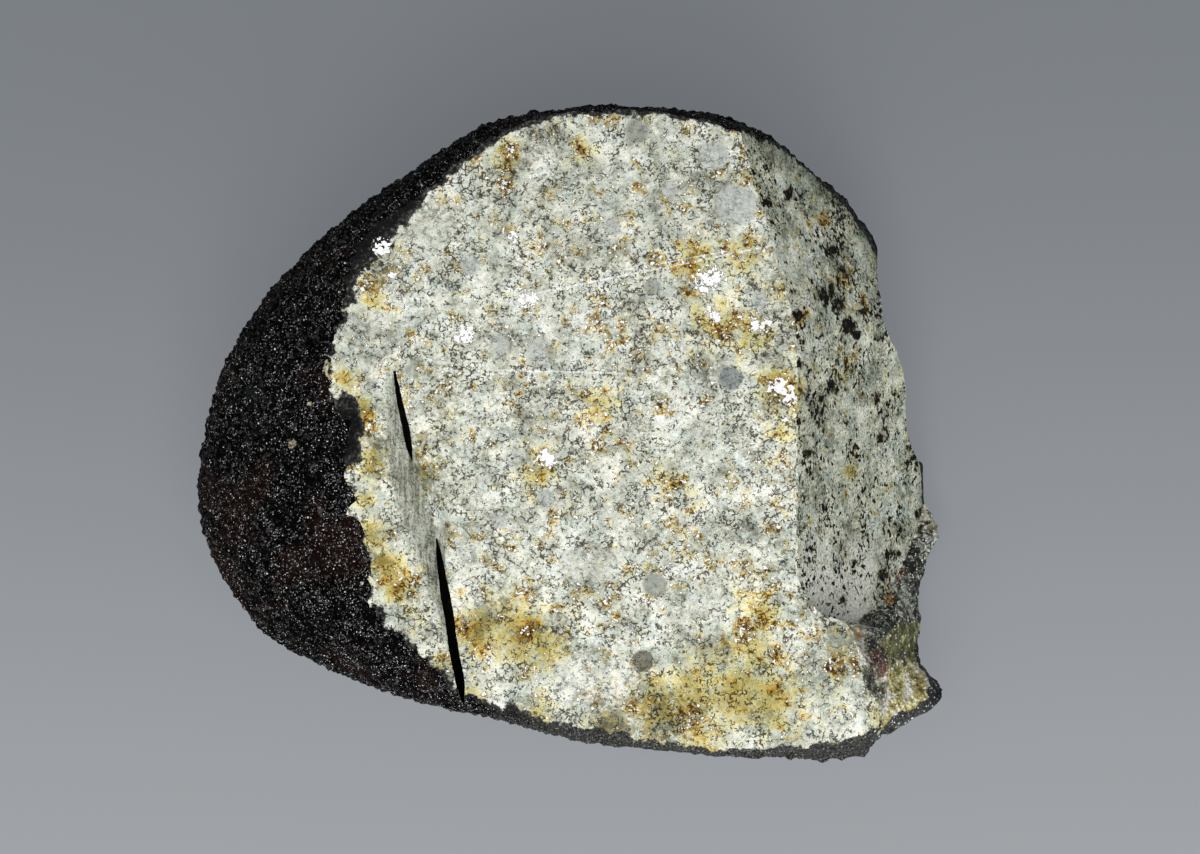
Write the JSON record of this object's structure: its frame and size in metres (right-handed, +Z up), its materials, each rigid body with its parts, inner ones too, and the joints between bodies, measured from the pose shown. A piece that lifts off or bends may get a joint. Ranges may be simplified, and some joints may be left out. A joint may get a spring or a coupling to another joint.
{
  "type": "chondrite meteorite",
  "caption": "Rounded stony meteorite with a dark fusion crust, sawn flat across its front and one end to show the pale inside, with an abandoned saw slot and rough broken faces.",
  "frame": {"origin": "centre of the small worn flat spot on the stone's crusted back, on which it lies", "axes": "+Z up, square to the main sawn face; +X towards the sawn end and -X towards the crusted nose; +Y across the main face"},
  "size_m": [0.0612, 0.0523, 0.0267],
  "materials": {
    "stone": "matte"
  },
  "bodies": {
    "root": {"stone": "stone"}
  },
  "joints": []
}
